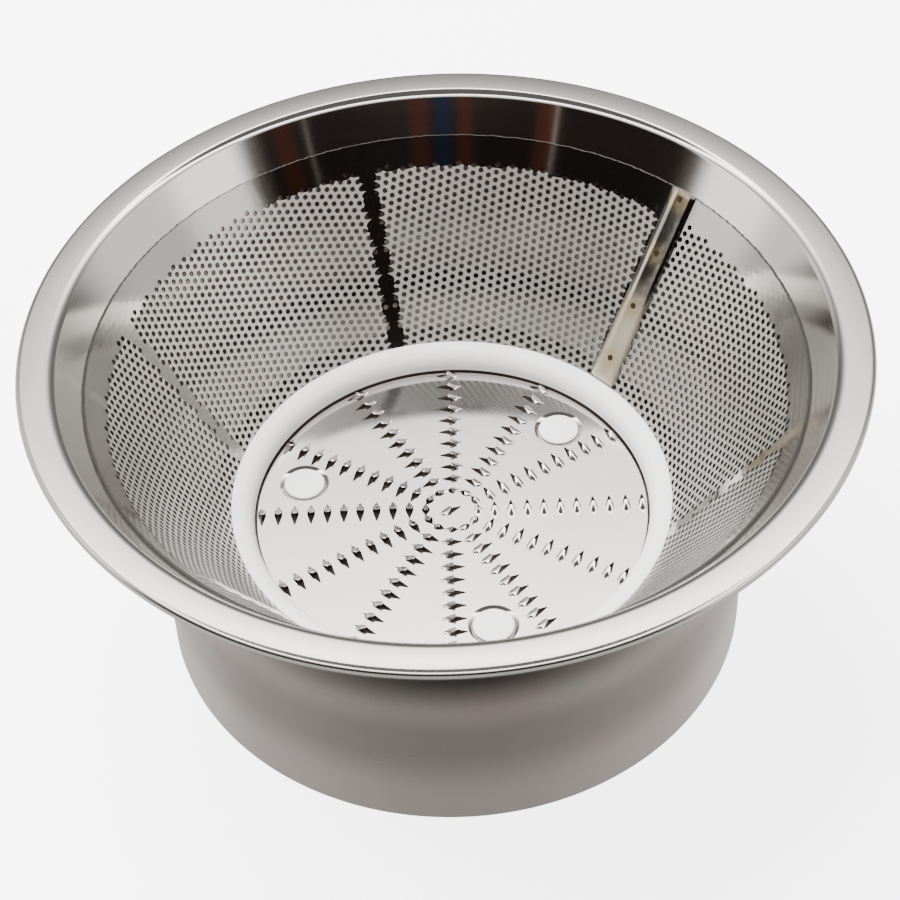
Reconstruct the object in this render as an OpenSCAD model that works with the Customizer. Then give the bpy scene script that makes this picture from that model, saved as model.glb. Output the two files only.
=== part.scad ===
// Filter basket of a centrifugal juicer: a perforated cone with a broad rim, a grater disc on its
// floor, a plastic hub with the drive coupling below, and a steel skirt round the outside.
// Millimetres. +Z is the spin axis, and z = 0 is the plane that the skirt's lower edge stands on.

/* [Rim] */
// Outer diameter of the rim
rim_d = 170; // [150:1:204]
// Height from the skirt's lower edge to the top of the rim
basket_h = 76; // [72:1:100]
// Thickness of the rim and collar sheet
rim_t = 0.8; // [0.6:0.05:1.2]
// Outside radius of the edge that is curled under
rim_edge_r = 1.2; // [1.2:0.1:2]
// Radius of the roll from the flat rim down into the collar
rim_roll_r = 2.5; // [1.5:0.1:4]
// Width from the rim's outer edge in to the mouth of the cone
rim_w = 7.8; // [7:0.1:10]

/* [Perforated cone] */
// Depth of the bowl, from the top of the rim down to the disc
bowl_depth = 51.2; // [44:0.1:58]
// Thickness of the perforated sheet
mesh_t = 0.5; // [0.3:0.05:0.8]
// Slant distance from the disc's plane up to the lower edge of the sheet
mesh_foot = 2; // [1.6:0.1:3]
// Slant distance from the rim's plane down to the upper edge of the sheet
mesh_drop = 9.2; // [7:0.1:12]
// Slant length of collar that laps behind the sheet
collar_lap = 5; // [3:0.1:7]
// Width of the lap seam
seam_w = 7; // [5:0.1:9]
// Direction of the lap seam, from +X towards +Y
seam_az = 43; // [0:1:359]

/* [Grater disc] */
// Diameter of the disc
disc_d = 83.5; // [68:0.5:92]
// Thickness of the disc
disc_t = 1; // [0.8:0.1:1.5]
// Number of rows of teeth
tooth_rows = 12; // [6:1:12]
// Most teeth in a row; fewer where the disc is too small for them
teeth_per_row = 11; // [6:1:11]
// Radius of the first tooth in a row
tooth_first_r = 5.6; // [5:0.1:8]
// Spacing of the teeth along a row
tooth_pitch = 3.5; // [3:0.05:3.5]
// Length of a tooth's hole
tooth_l = 4.4; // [3:0.1:5]
// Width of a tooth at its root
tooth_w = 1.8; // [1.2:0.1:2.2]
// Thickness of a tooth's tongue
tongue_t = 0.6; // [0.4:0.1:0.8]
// Least distance from the last tooth's centre line to the disc's edge
tooth_edge = 1.1; // [1.1:0.1:3]
// Height of a tooth's tip above the disc
tooth_h = 1.2; // [0.8:0.1:1.6]
// Turn of the single tooth at the centre
centre_tooth_az = 295; // [0:5:359]
// Number of stakes that hold the disc
stake_count = 3; // [3:1:4]
// Distance from the disc's edge in to a stake's centre
stake_edge = 8.75; // [7.5:0.25:12]
// Radius of a stake's neck
stake_r = 3.5; // [2.5:0.1:3.8]
// How far a stake's head spreads past its neck
stake_spread = 0.8; // [0.4:0.1:0.9]

/* [Clamp ring] */
// Height of the ring's crown above the disc
ring_h = 4.7; // [4:0.1:6]
// Straight height of the ring's inner wall above the disc
ring_wall = 1.2; // [0.5:0.1:2]
// Width of the ring at the disc's level, measured to the cone
ring_foot = 1.45; // [1.2:0.05:2]
// Width of the ring's base
ring_base_w = 3.55; // [3.2:0.05:3.8]

/* [Hub] */
// Thickness of the hub's plate under the disc
hub_plate_t = 3; // [2:0.1:3.5]
// Depth from the disc's top to the channel that holds the ring
channel_depth = 4.8; // [4.4:0.1:5.6]
// Thickness of the floor under the channel
channel_floor_t = 3; // [2:0.1:4]
// Width of the wall under the edge of the hub's plate
hub_step_w = 4; // [3:0.1:6]
// Width of the outer wall that backs the cone
hub_wall_w = 4.3; // [4.2:0.1:6]
// Height of the outer wall's top above the disc
hub_wall_h = 6.7; // [5.5:0.1:9]
// Depth from the disc's top to the lower face of the hub's boss
hub_depth = 16.8; // [15.5:0.1:18]
// Radius of the hub's boss
boss_r = 16; // [15.8:0.1:20]
// Number of ribs under the plate
rib_count = 6; // [3:1:8]
// Thickness of a rib
rib_t = 2; // [1.5:0.1:3]
// Height from the boss's lower face up to a rib's lower edge
rib_rise = 4; // [2:0.5:6]

/* [Drive] */
// Bore of the shaft bush
shaft_bore_d = 8; // [6:0.1:9]
// Wall of the shaft bush
bush_wall = 2.5; // [1.5:0.1:3]
// Length of the bush inside the hub
bush_l = 12; // [9:0.1:12.5]
// Width of the bush's flange
bush_flange_w = 2.4; // [1.5:0.1:2.4]
// Thickness of the bush's flange
bush_flange_t = 1.2; // [0.8:0.1:1.6]
// Thickness of the coupling's plate
coupling_t = 2.5; // [2:0.1:3.5]
// Height of the coupling's dogs
dog_h = 3; // [2:0.1:3.5]
// Number of dogs
dog_count = 6; // [6:3:6]
// Step from the plate's edges in to the sides of a dog
dog_inset = 0.5; // [0.3:0.1:0.8]
// Angle that each dog covers
dog_angle = 25; // [15:1:26]
// Step from the boss's side in to the coupling's edge
coupling_step = 0.5; // [0.3:0.1:1]
// Number of screws that hold the coupling
coupling_screw_count = 3; // [2:1:3]
// Radius of the circle of coupling screws
coupling_screw_circle_r = 12.4; // [12.2:0.1:12.6]

/* [Skirt] */
// Outer diameter of the skirt's straight part
skirt_d = 123.8; // [116:0.5:128]
// Thickness of the skirt's sheet
skirt_t = 0.8; // [0.6:0.05:1]
// Gap between the perforated sheet and the skirt's cone
channel_w = 1.8; // [1.6:0.1:2.2]
// Radius of the bend between the straight part and the cone
skirt_bend_r = 50; // [30:1:60]
// Height of the drain gap under the rim
drain_gap = 1.5; // [1:0.1:1.8]
// Number of pads that join the skirt to the rim
pad_count = 12; // [6:1:16]
// Radius of a pad
pad_r = 1.4; // [1.2:0.1:1.6]

/* [Fasteners and welds] */
// Shank radius of the ring's screws
ring_screw_r = 1; // [0.8:0.05:1.1]
// Number of screws that pull the ring down
ring_screw_count = 6; // [4:1:8]
// How far a ring screw reaches into the ring
ring_screw_bite = 5; // [3:0.1:5]
// Shank radius of the coupling's screws
coupling_screw_r = 1.25; // [1:0.05:1.4]
// How far a coupling screw reaches into the boss
coupling_screw_bite = 8; // [5:0.1:9]
// Thickness of a washer
washer_t = 0.4; // [0.3:0.05:0.6]
// Radius of a weld spot
weld_r = 1.1; // [0.8:0.1:1.2]
// Thickness of a weld spot
weld_t = 0.15; // [0.1:0.05:0.2]
// Weld spots along the lap seam
seam_weld_count = 4; // [3:1:5]
// Slant distance from the ring's crown up to the first weld of the seam
seam_weld_first = 6; // [4:0.5:9]
// Weld spots round the collar
collar_weld_count = 24; // [12:1:36]

/* [Clearances] */
// Gap between clamped faces that follow the cone
cone_fit = 0.05; // [0.02:0.01:0.1]
// Gap round the disc's edge
disc_gap = 0.3; // [0.2:0.05:0.4]
// Radial gap round stakes, pressed pieces and screws
pin_fit = 0.03; // [0.01:0.01:0.08]
// Radial gap round a stake's head in its dimple
stake_head_fit = 0.09; // [0.05:0.01:0.15]
// Radial gap between the ring's base and the channel
channel_fit = 0.1; // [0.05:0.01:0.3]
// Gap between the bush's flange and the coupling's plate
coupling_fit = 0.2; // [0.1:0.05:0.4]
// Gap between the skirt's flange and the rim's curled edge
flange_gap = 0.3; // [0.2:0.1:0.8]
// Gap between the ring's crown and the inner layer of the seam
seam_gap = 0.5; // [0.3:0.1:1]
// Gap that keeps a flat weld spot clear of the curved sheet
weld_fit = 0.02; // [0.015:0.005:0.03]
// Radial gap round a screw in a through hole
screw_hole_fit = 0.1; // [0.05:0.05:0.2]
// Gap past the end of a screw or of the bush in its blind hole
end_gap = 0.3; // [0.2:0.1:0.5]

/* [Hidden] */
$fn = 180;
small_fn = 32;
stake_fn = 48;
arc_steps = 12;
roll_steps = 8;
// Overlap of joined shapes, and how far a cut runs past the face that it opens
eps = 0.01;
cut = 1;

// Shape of a tooth: its hole's and its tongue's width at the tip, as shares of the root's width, how
// far the tongue reaches, as a share of the hole's length, and the largest share of the way to the
// next row that the hole takes
hole_tip = 0.25;
tongue_tip = 1 / 3;
tongue_reach = 0.45;
row_fill = 0.8;

// Shape of a pan-head screw and its washer, in shank radii; the crown is a share of the head's radius
head_r = 2;
head_h = 1.3;
head_crown = 0.8;
slot_l = 1.6;
slot_w = 0.4;
slot_depth = 0.6;
washer_r = 2.4;

// Levels and radii that several pieces share
rim_r = rim_d / 2;
disc_z = basket_h - bowl_depth;
disc_bottom = disc_z - disc_t;
ring_in_r = disc_d / 2 + disc_gap;
foot_r = ring_in_r + ring_foot;
cone_a = atan((rim_r - rim_w - foot_r) / bowl_depth);
mesh_top = bowl_depth / cos(cone_a) - mesh_drop;
collar_n = mesh_t + cone_fit;
ring_out_r = ring_in_r + ring_base_w;
ring_crown_s = ring_h / cos(cone_a);
channel_z = disc_z - channel_depth;
floor_z = channel_z - channel_floor_t;
hub_in_r = ring_out_r + channel_fit;
hub_out_r = hub_in_r + hub_wall_w;
boss_z = disc_z - hub_depth;
plate_bottom = disc_bottom - hub_plate_t;
ring_screw_circle_r = ring_in_r + ring_base_w / 2;
bush_r = shaft_bore_d / 2 + bush_wall;
coupling_in_r = bush_r + bush_flange_w + coupling_fit;
coupling_out_r = boss_r - coupling_step;
skirt_r = skirt_d / 2;
skirt_n = mesh_t + channel_w + skirt_t;
flange_z = basket_h - rim_t - drain_gap;
flange_r = rim_r - 2 * rim_edge_r - flange_gap;
stake_circle_r = disc_d / 2 - stake_edge;
stake_head_r = stake_r + stake_spread;
stake_az = [for (i = [0:stake_count - 1]) seam_az + 360 * i / stake_count];
row_teeth = min(teeth_per_row, 1 + floor((disc_d / 2 - tooth_edge - tooth_first_r) / tooth_pitch));

// A point at slant distance s up the cone from the disc's plane, and n outward from its inner face
function on_cone(s, n) =
    [foot_r + s * sin(cone_a) + n * cos(cone_a), disc_z + s * cos(cone_a) - n * sin(cone_a)];
// Slant distance at which the line n outward from the cone's inner face reaches height z or radius r
function s_at_z(z, n) = (z - disc_z + n * sin(cone_a)) / cos(cone_a);
function s_at_r(r, n) = (r - foot_r - n * cos(cone_a)) / sin(cone_a);
function arc(c, r, a0, a1, steps) =
    [for (i = [0:steps]) c + r * [cos(a0 + (a1 - a0) * i / steps), sin(a0 + (a1 - a0) * i / steps)]];

// Places a child on the cone at slant s and offset n, with +Z outward along the normal
module on_cone_at(az, s, n) {
    p = on_cone(s, n);
    rotate([0, 0, az]) translate([p[0], 0, p[1]]) rotate([0, 90 + cone_a, 0]) children();
}

module round_about(count, r, z = 0, start = 0) {
    for (i = [0:count - 1]) rotate([0, 0, start + 360 * i / count]) translate([r, 0, z]) children();
}

// Rim, pressed in one piece: curled edge, flat, inner roll and the collar behind the sheet
module rim_ring() {
    mouth_r = on_cone(s_at_z(basket_h, collar_n), collar_n)[0];
    flat_r = mouth_r + rim_roll_r * tan((90 - cone_a) / 2);
    edge = [rim_r - rim_edge_r, basket_h - rim_edge_r];
    roll = [flat_r, basket_h - rim_roll_r];
    collar_end = mesh_top - collar_lap;
    color("gainsboro") rotate_extrude() polygon(concat(
        arc(edge, rim_edge_r, -90, 90, arc_steps),
        arc(roll, rim_roll_r, 90, 180 - cone_a, roll_steps),
        [on_cone(collar_end, collar_n), on_cone(collar_end, collar_n + rim_t)],
        arc(roll, rim_roll_r - rim_t, 180 - cone_a, 90, roll_steps),
        arc(edge, rim_edge_r - rim_t, 90, -90, roll_steps)));
}

// Perforated sheet, rolled into a cone; the lap seam doubles it on the inside
module mesh_cone() {
    seam_deg = seam_w / foot_r * 180 / PI;
    seam_s = ring_crown_s + seam_gap;
    color("silver") union() {
        rotate_extrude() polygon([on_cone(mesh_foot, 0), on_cone(mesh_foot, mesh_t),
                                  on_cone(mesh_top, mesh_t), on_cone(mesh_top, 0)]);
        rotate([0, 0, seam_az - seam_deg / 2]) rotate_extrude(angle = seam_deg)
            polygon([on_cone(seam_s, -mesh_t), on_cone(seam_s, eps),
                     on_cone(mesh_top, eps), on_cone(mesh_top, -mesh_t)]);
    }
}

module weld_spot(h) {
    cylinder(r = weld_r, h = h, $fn = small_fn);
}

// Weld spots down the middle of the lap seam
module seam_welds() {
    first = ring_crown_s + seam_weld_first;
    last = mesh_top - 1.5 * weld_r;
    step = (last - first) / (seam_weld_count - 1);
    color("dimgray") for (i = [0:seam_weld_count - 1])
        on_cone_at(seam_az, first + i * step, -mesh_t - weld_t - weld_fit) weld_spot(weld_t);
}

// Weld spots that join the sheet to the collar, on the collar's outer face
module collar_welds() {
    color("dimgray") for (i = [0:collar_weld_count - 1])
        on_cone_at(360 * i / collar_weld_count, mesh_top - collar_lap / 2, collar_n + rim_t + weld_fit)
            weld_spot(weld_t);
}

// Outer skirt: straight part, bend, cone, and a flange with pads under the rim
module outer_skirt() {
    knee_s = s_at_r(skirt_r, skirt_n);
    knee_z = on_cone(knee_s, skirt_n)[1];
    bend_l = skirt_bend_r * tan(cone_a / 2);
    bend = [skirt_r + skirt_bend_r, knee_z - bend_l];
    inner_top = on_cone(s_at_z(flange_z, skirt_n - skirt_t), skirt_n - skirt_t);
    outer_top = on_cone(s_at_z(flange_z - skirt_t, skirt_n), skirt_n);
    pad_h = drain_gap - 2 * weld_t;
    color("darkgray") union() {
        rotate_extrude() polygon(concat(
            [[skirt_r - skirt_t, 0], [skirt_r, 0]],
            arc(bend, skirt_bend_r, 180, 180 - cone_a, arc_steps),
            [outer_top, [flange_r, flange_z - skirt_t], [flange_r, flange_z], inner_top],
            arc(bend, skirt_bend_r + skirt_t, 180 - cone_a, 180, arc_steps)));
        round_about(pad_count, pad_circle_r(), flange_z - eps)
            cylinder(r = pad_r, h = pad_h + eps, $fn = small_fn);
    }
}

function pad_circle_r() = (flange_r + on_cone(s_at_z(flange_z, skirt_n), skirt_n)[0]) / 2;

// Weld spots between the skirt's pads and the underside of the rim
module skirt_welds() {
    color("dimgray") round_about(pad_count, pad_circle_r(), basket_h - rim_t - 2 * weld_t)
        weld_spot(2 * weld_t);
}

// A tooth is a pointed hole with a tongue bent up from its wide end: root at -Y, tip at +Y
module tooth_hole(l, w) {
    tip = hole_tip * w / 2;
    translate([0, 0, -disc_t - cut]) linear_extrude(disc_t + 2 * cut)
        polygon([[-w / 2, -l / 2], [w / 2, -l / 2], [tip, l / 2], [-tip, l / 2]]);
}

module tooth_tongue(l, w) {
    tip = tongue_tip * w / 2;
    sunk = tongue_t / 2;
    reach = tongue_reach * l;
    rise = tooth_h * l / tooth_l + sunk;
    tongue_l = norm([reach, rise]);
    translate([0, -l / 2, -sunk]) rotate([atan(rise / reach), 0, 0]) translate([0, -sunk, -sunk])
        linear_extrude(tongue_t) polygon([[-w / 2, 0], [w / 2, 0], [tip, tongue_l], [-tip, tongue_l]]);
}

// A tooth is left out where it would run into a stake's head
function clears_stakes(r, az) =
    min([for (a = stake_az) norm([r * cos(az - a) - stake_circle_r, r * sin(az - a)])])
        > tooth_l / 2 + stake_head_r + tongue_t / 2;

module at_teeth() {
    for (row = [0:tooth_rows - 1], i = [0:row_teeth - 1]) {
        r = tooth_first_r + i * tooth_pitch;
        az = 360 * row / tooth_rows;
        $tooth_len = min(tooth_l, row_fill * 2 * r * sin(180 / tooth_rows));
        if (clears_stakes(r, az)) rotate([0, 0, az]) translate([r, 0, disc_z]) children();
    }
    $tooth_len = tooth_l;
    rotate([0, 0, centre_tooth_az]) translate([0, 0, disc_z]) children();
}

// Grater disc: flat, with dimpled holes for the stakes and pierced teeth
module grater_disc() {
    color("lightgray") union() {
        difference() {
            translate([0, 0, disc_bottom]) cylinder(d = disc_d, h = disc_t);
            for (a = stake_az) rotate([0, 0, a]) translate([stake_circle_r, 0, disc_bottom - eps])
                cylinder(r1 = stake_r + pin_fit, r2 = stake_head_r + stake_head_fit,
                         h = disc_t + 2 * eps, $fn = stake_fn);
            at_teeth() tooth_hole($tooth_len, tooth_w);
        }
        at_teeth() tooth_tongue($tooth_len, tooth_w);
    }
}

// White ring that clamps the lower edge of the cone into the hub
module clamp_ring() {
    crown = on_cone(ring_crown_s, -cone_fit);
    lip = [ring_in_r, disc_z + ring_wall];
    reach = crown - lip;
    round_r = (reach[0] * reach[0] + reach[1] * reach[1]) / (2 * reach[0]);
    centre = lip + [round_r, 0];
    ledge = on_cone(mesh_foot, mesh_t)[1] - 2 * cone_fit;
    ledge_r = on_cone(s_at_z(ledge, -cone_fit), -cone_fit)[0];
    color("whitesmoke") difference() {
        rotate_extrude() polygon(concat(
            [[ring_in_r, channel_z], [ring_out_r, channel_z], [ring_out_r, ledge], [ledge_r, ledge]],
            arc(centre, round_r, atan2(crown[1] - centre[1], crown[0] - centre[0]), 180, arc_steps)));
        round_about(ring_screw_count, ring_screw_circle_r, channel_z - cut, seam_az)
            cylinder(r = ring_screw_r + pin_fit, h = ring_screw_bite + cut + end_gap, $fn = small_fn);
    }
}

// White hub: plate under the disc, channel for the ring, outer wall, boss, ribs and stakes
module base_hub() {
    wall_z = disc_z + hub_wall_h;
    wall_n = mesh_t + cone_fit;
    plate_r = ring_in_r - disc_gap;
    boss_wall_r = plate_r - hub_step_w;
    rib_z = boss_z + rib_rise;
    color("white") difference() {
        union() {
            rotate_extrude() polygon([
                [0, plate_bottom], [boss_wall_r, plate_bottom], [boss_wall_r, floor_z],
                [hub_out_r, floor_z], [hub_out_r, wall_z], on_cone(s_at_z(wall_z, wall_n), wall_n),
                on_cone(s_at_r(hub_in_r, wall_n), wall_n), [hub_in_r, channel_z],
                [plate_r, channel_z], [plate_r, disc_bottom], [0, disc_bottom]]);
            translate([0, 0, boss_z]) cylinder(r = boss_r, h = plate_bottom - boss_z + eps);
            round_about(rib_count, 0, 0, seam_az + 180 / rib_count)
                translate([boss_r - rib_t / 2, -rib_t / 2, rib_z])
                    cube([boss_wall_r - boss_r + rib_t, rib_t, plate_bottom - rib_z + eps]);
            for (a = stake_az) rotate([0, 0, a]) translate([stake_circle_r, 0, disc_bottom - eps])
                cylinder(r1 = stake_r, r2 = stake_head_r, h = disc_t + eps, $fn = stake_fn);
        }
        translate([0, 0, boss_z - cut]) cylinder(r = bush_r + pin_fit, h = bush_l + cut + end_gap);
        round_about(coupling_screw_count, coupling_screw_circle_r, boss_z - cut, seam_az)
            cylinder(r = coupling_screw_r + pin_fit, h = coupling_screw_bite + cut + end_gap, $fn = small_fn);
        round_about(ring_screw_count, ring_screw_circle_r, floor_z - cut, seam_az)
            cylinder(r = ring_screw_r + screw_hole_fit, h = channel_floor_t + 2 * cut, $fn = small_fn);
    }
}

// A pan-head screw pointing up, with the underside of its head at z = 0
module pan_screw(shank_r, length) {
    union() {
        cylinder(r = shank_r, h = length, $fn = small_fn);
        scale(shank_r) difference() {
            translate([0, 0, -head_h])
                cylinder(r1 = head_crown * head_r, r2 = head_r, h = head_h, $fn = small_fn);
            for (a = [0, 90]) rotate([0, 0, a])
                translate([-slot_l / 2, -slot_w / 2, -head_h - cut]) cube([slot_l, slot_w, slot_depth + cut]);
        }
    }
}

module ring_screws() {
    color("silver") round_about(ring_screw_count, ring_screw_circle_r, floor_z - washer_t, seam_az)
        pan_screw(ring_screw_r, washer_t + channel_floor_t + ring_screw_bite);
}

module ring_washers() {
    color("silver") round_about(ring_screw_count, ring_screw_circle_r, floor_z - washer_t, seam_az)
        difference() {
            cylinder(r = washer_r * ring_screw_r, h = washer_t, $fn = small_fn);
            translate([0, 0, -cut])
                cylinder(r = ring_screw_r + screw_hole_fit, h = washer_t + 2 * cut, $fn = small_fn);
        }
}

// Steel bush for the motor shaft, pressed into the boss, with a flange at its mouth
module shaft_bush() {
    color("slategray") difference() {
        union() {
            translate([0, 0, boss_z - bush_flange_t]) cylinder(r = bush_r, h = bush_flange_t + bush_l);
            translate([0, 0, boss_z - bush_flange_t]) cylinder(r = bush_r + bush_flange_w, h = bush_flange_t);
        }
        translate([0, 0, boss_z - bush_flange_t - cut])
            cylinder(d = shaft_bore_d, h = bush_l + bush_flange_t + 2 * cut);
    }
}

// Dog coupling that the motor drives, screwed to the boss
module drive_coupling() {
    color("dimgray") difference() {
        union() {
            translate([0, 0, boss_z - coupling_t]) difference() {
                cylinder(r = coupling_out_r, h = coupling_t);
                translate([0, 0, -cut]) cylinder(r = coupling_in_r, h = coupling_t + 2 * cut);
            }
            for (i = [0:dog_count - 1])
                rotate([0, 0, seam_az + 360 * (i + 0.5) / dog_count - dog_angle / 2])
                    translate([0, 0, boss_z - coupling_t - dog_h]) rotate_extrude(angle = dog_angle)
                        translate([coupling_in_r + dog_inset, 0])
                            square([coupling_out_r - coupling_in_r - 2 * dog_inset, dog_h + coupling_t / 2]);
        }
        round_about(coupling_screw_count, coupling_screw_circle_r, boss_z - coupling_t - cut, seam_az)
            cylinder(r = coupling_screw_r + screw_hole_fit, h = coupling_t + 2 * cut, $fn = small_fn);
    }
}

module coupling_screws() {
    color("silver") round_about(coupling_screw_count, coupling_screw_circle_r, boss_z - coupling_t, seam_az)
        pan_screw(coupling_screw_r, coupling_t + coupling_screw_bite);
}

rim_ring();
mesh_cone();
seam_welds();
collar_welds();
outer_skirt();
skirt_welds();
grater_disc();
clamp_ring();
base_hub();
ring_screws();
ring_washers();
shaft_bush();
drive_coupling();
coupling_screws();
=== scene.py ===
"""The finished pieces of a juicer's filter basket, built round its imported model, with their stage."""

import math

import bmesh
import bpy
from bpy.props import FloatProperty, FloatVectorProperty, IntProperty, PointerProperty
from mathutils import Matrix, Vector


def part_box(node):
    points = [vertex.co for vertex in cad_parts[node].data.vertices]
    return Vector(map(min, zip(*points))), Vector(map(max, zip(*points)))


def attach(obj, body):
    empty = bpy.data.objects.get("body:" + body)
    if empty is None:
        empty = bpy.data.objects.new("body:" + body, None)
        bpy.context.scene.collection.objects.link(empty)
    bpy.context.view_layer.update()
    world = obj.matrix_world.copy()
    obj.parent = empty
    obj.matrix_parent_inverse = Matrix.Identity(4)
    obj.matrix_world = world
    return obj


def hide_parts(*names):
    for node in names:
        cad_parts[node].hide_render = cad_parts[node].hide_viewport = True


bl_info = {
    "name": "Juicer Filter Basket",
    "version": (1, 0, 0),
    "blender": (4, 5, 0),
    "location": "3D View > Sidebar > Basket",
    "description": "Builds a juicer's filter basket piece by piece, with its materials and a stage",
    "category": "Add Mesh",
}

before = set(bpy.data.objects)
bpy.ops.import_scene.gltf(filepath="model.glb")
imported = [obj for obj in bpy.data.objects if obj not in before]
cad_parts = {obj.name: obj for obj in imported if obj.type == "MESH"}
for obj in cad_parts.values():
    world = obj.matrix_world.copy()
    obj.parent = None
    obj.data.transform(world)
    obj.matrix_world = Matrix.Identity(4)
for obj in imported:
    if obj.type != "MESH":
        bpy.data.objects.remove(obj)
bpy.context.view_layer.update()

MM = 0.001
TURN = 2 * math.pi
HOLE_CORNERS = 8


# ---------------------------------------------------------------- sizes and colours


def length(name, description, millimetres):
    return FloatProperty(
        name=name, description=description, default=millimetres * MM, min=0, precision=5,
        subtype="DISTANCE", unit="LENGTH")


def colour(name, description, value):
    return FloatVectorProperty(
        name=name, description=description, default=value, min=0, max=1, size=3, subtype="COLOR")


class BasketSizes(bpy.types.PropertyGroup):
    """Sizes of the rim, the perforated cone and the ring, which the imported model's boxes don't give."""

    rim_width: length("Rim width", "From the rim's outer edge in to the mouth of the cone", 7.8)
    rim_sheet: length("Rim sheet", "Thickness of the rim's and the collar's sheet", 0.8)
    edge_radius: length("Edge radius", "Outside radius of the curled edge", 1.2)
    roll_radius: length("Roll radius", "Radius of the roll from the rim down into the collar", 2.5)
    sheet: length("Sheet", "Thickness of the perforated sheet", 0.5)
    sheet_foot: length("Sheet foot", "Slant distance from the disc's plane to the sheet's lower edge", 2)
    sheet_drop: length("Sheet drop", "Slant distance from the rim's plane to the sheet's upper edge", 9.2)
    collar_lap: length("Collar lap", "Slant length of collar behind the sheet", 5)
    clearance: length("Clearance", "Gap between faces that follow the cone", 0.05)
    hole: length("Hole", "Diameter of a hole in the sheet", 1.2)
    column_pitch: length("Column pitch", "Distance between columns of holes", 1.72)
    row_pitch: length("Row pitch", "Distance between the holes of a column", 1.745)
    holes_from: length("First holes", "Slant distance at which the holes start", 4.6)
    holes_to: length("Last holes", "Slant distance at which the holes stop", 45.6)
    strip: length("Strip", "Width of the plain strip between two panels", 3.2)
    seam: length("Seam", "Width of the plain strip at the lap seam", 6.9)
    lap: length("Lap", "Width of the seam's inner layer", 6.3)
    welds: IntProperty(name="Welds", description="Weld spots down the lap seam", default=4, min=2)
    weld_foot: length("First weld", "Slant distance from the ring's crown to the lowest weld spot", 6)
    weld_drop: length("Last weld", "Slant distance from the sheet's upper edge to the highest spot", 1.65)
    disc_sheet: length("Disc sheet", "Thickness of the grater disc", 1)
    disc_gap: length("Disc gap", "Gap between the disc and the ring", 0.3)
    ring_foot: length("Ring foot", "Width of the ring at the disc's level", 1.45)
    ring_wall: length("Ring wall", "Straight height of the ring's inner wall", 1.2)
    ring_base: length("Ring base", "Width of the ring's base", 3.55)
    skirt_radius: length("Skirt radius", "Outer radius of the skirt's upright wall", 61.9)
    skirt_sheet: length("Skirt sheet", "Thickness of the skirt", 0.8)
    skirt_bend: length("Skirt bend", "Radius of the skirt's bend", 50)
    channel: length("Channel", "Gap between the sheet and the skirt's cone", 1.8)
    drain: length("Drain gap", "Height of the gap under the rim", 1.5)
    pads: IntProperty(name="Pads", description="Pads that join skirt and rim", default=12, min=3)
    pad_radius: length("Pad radius", "Radius of a pad", 1.4)
    seam_direction: FloatProperty(
        name="Seam direction", description="Where the lap seam is, from +X towards +Y",
        default=math.radians(43), subtype="ANGLE", unit="ROTATION")


class GraterSizes(bpy.types.PropertyGroup):
    """Sizes of the teeth, and of the stakes that hold the disc."""

    rows: IntProperty(name="Rows", description="Rows of teeth", default=12, min=3)
    per_row: IntProperty(name="Teeth", description="Teeth in a row", default=11, min=1)
    first: length("First tooth", "Radius of the first tooth in a row", 5.6)
    pitch: length("Tooth pitch", "Distance between the teeth of a row", 3.5)
    hole_length: length("Hole length", "Length of a tooth's hole", 4.4)
    hole_width: length("Hole width", "Width of a tooth's hole at its wide end", 1.8)
    rise: length("Rise", "Height of a tooth's tip above the disc", 1.3)
    blister: length("Blister", "Length of the swelling behind a tooth", 1.1)
    stake_edge: length("Stake edge", "Distance from the disc's edge in to a stake's centre", 8.75)
    stake_neck: length("Stake neck", "Radius of a stake's neck", 3.5)
    stake_head: length("Stake head", "Radius of a stake's head", 4.3)
    dimple: length("Dimple", "Width of the shallow dimple round a stake's head", 0.9)
    head_rise: length("Head rise", "Height of a stake's head above the disc's top", 0.12)
    stakes: IntProperty(name="Stakes", description="Stakes that hold the disc", default=3, min=1)
    centre_turn: FloatProperty(
        name="Centre tooth", description="Turn of the single tooth at the centre",
        default=math.radians(295), subtype="ANGLE", unit="ROTATION")


class BasketColours(bpy.types.PropertyGroup):
    """Base colours of the finishes."""

    steel: colour("Steel", "Bare stainless steel", (0.74, 0.725, 0.70))
    mirror: colour("Mirror steel", "Bright-rolled steel of the grater disc", (0.76, 0.74, 0.74))
    skirt: colour("Skirt", "Grey satin of the skirt", (0.46, 0.43, 0.41))
    heat: colour("Heat tint", "Straw tint that welding leaves on steel", (0.80, 0.62, 0.36))
    weld: colour("Weld", "Burnt steel in a weld spot", (0.035, 0.027, 0.02))
    plastic: colour("White plastic", "The ring and the hub", (0.84, 0.815, 0.81))
    # Painted shade: the near-black colour given to the plastic under the disc, behind the sheet and in the
    # ring's corner.
    painted_shade: colour("Stain", "Pulp stain under the disc", (0.022, 0.014, 0.010))
    coupling: colour("Coupling", "Dark plastic of the coupling", (0.045, 0.045, 0.05))
    zinc: colour("Zinc", "Plated screws and washers", (0.66, 0.67, 0.69))
    floor: colour("Floor", "Paper that the basket stands on", (0.9, 0.895, 0.89))


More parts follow.
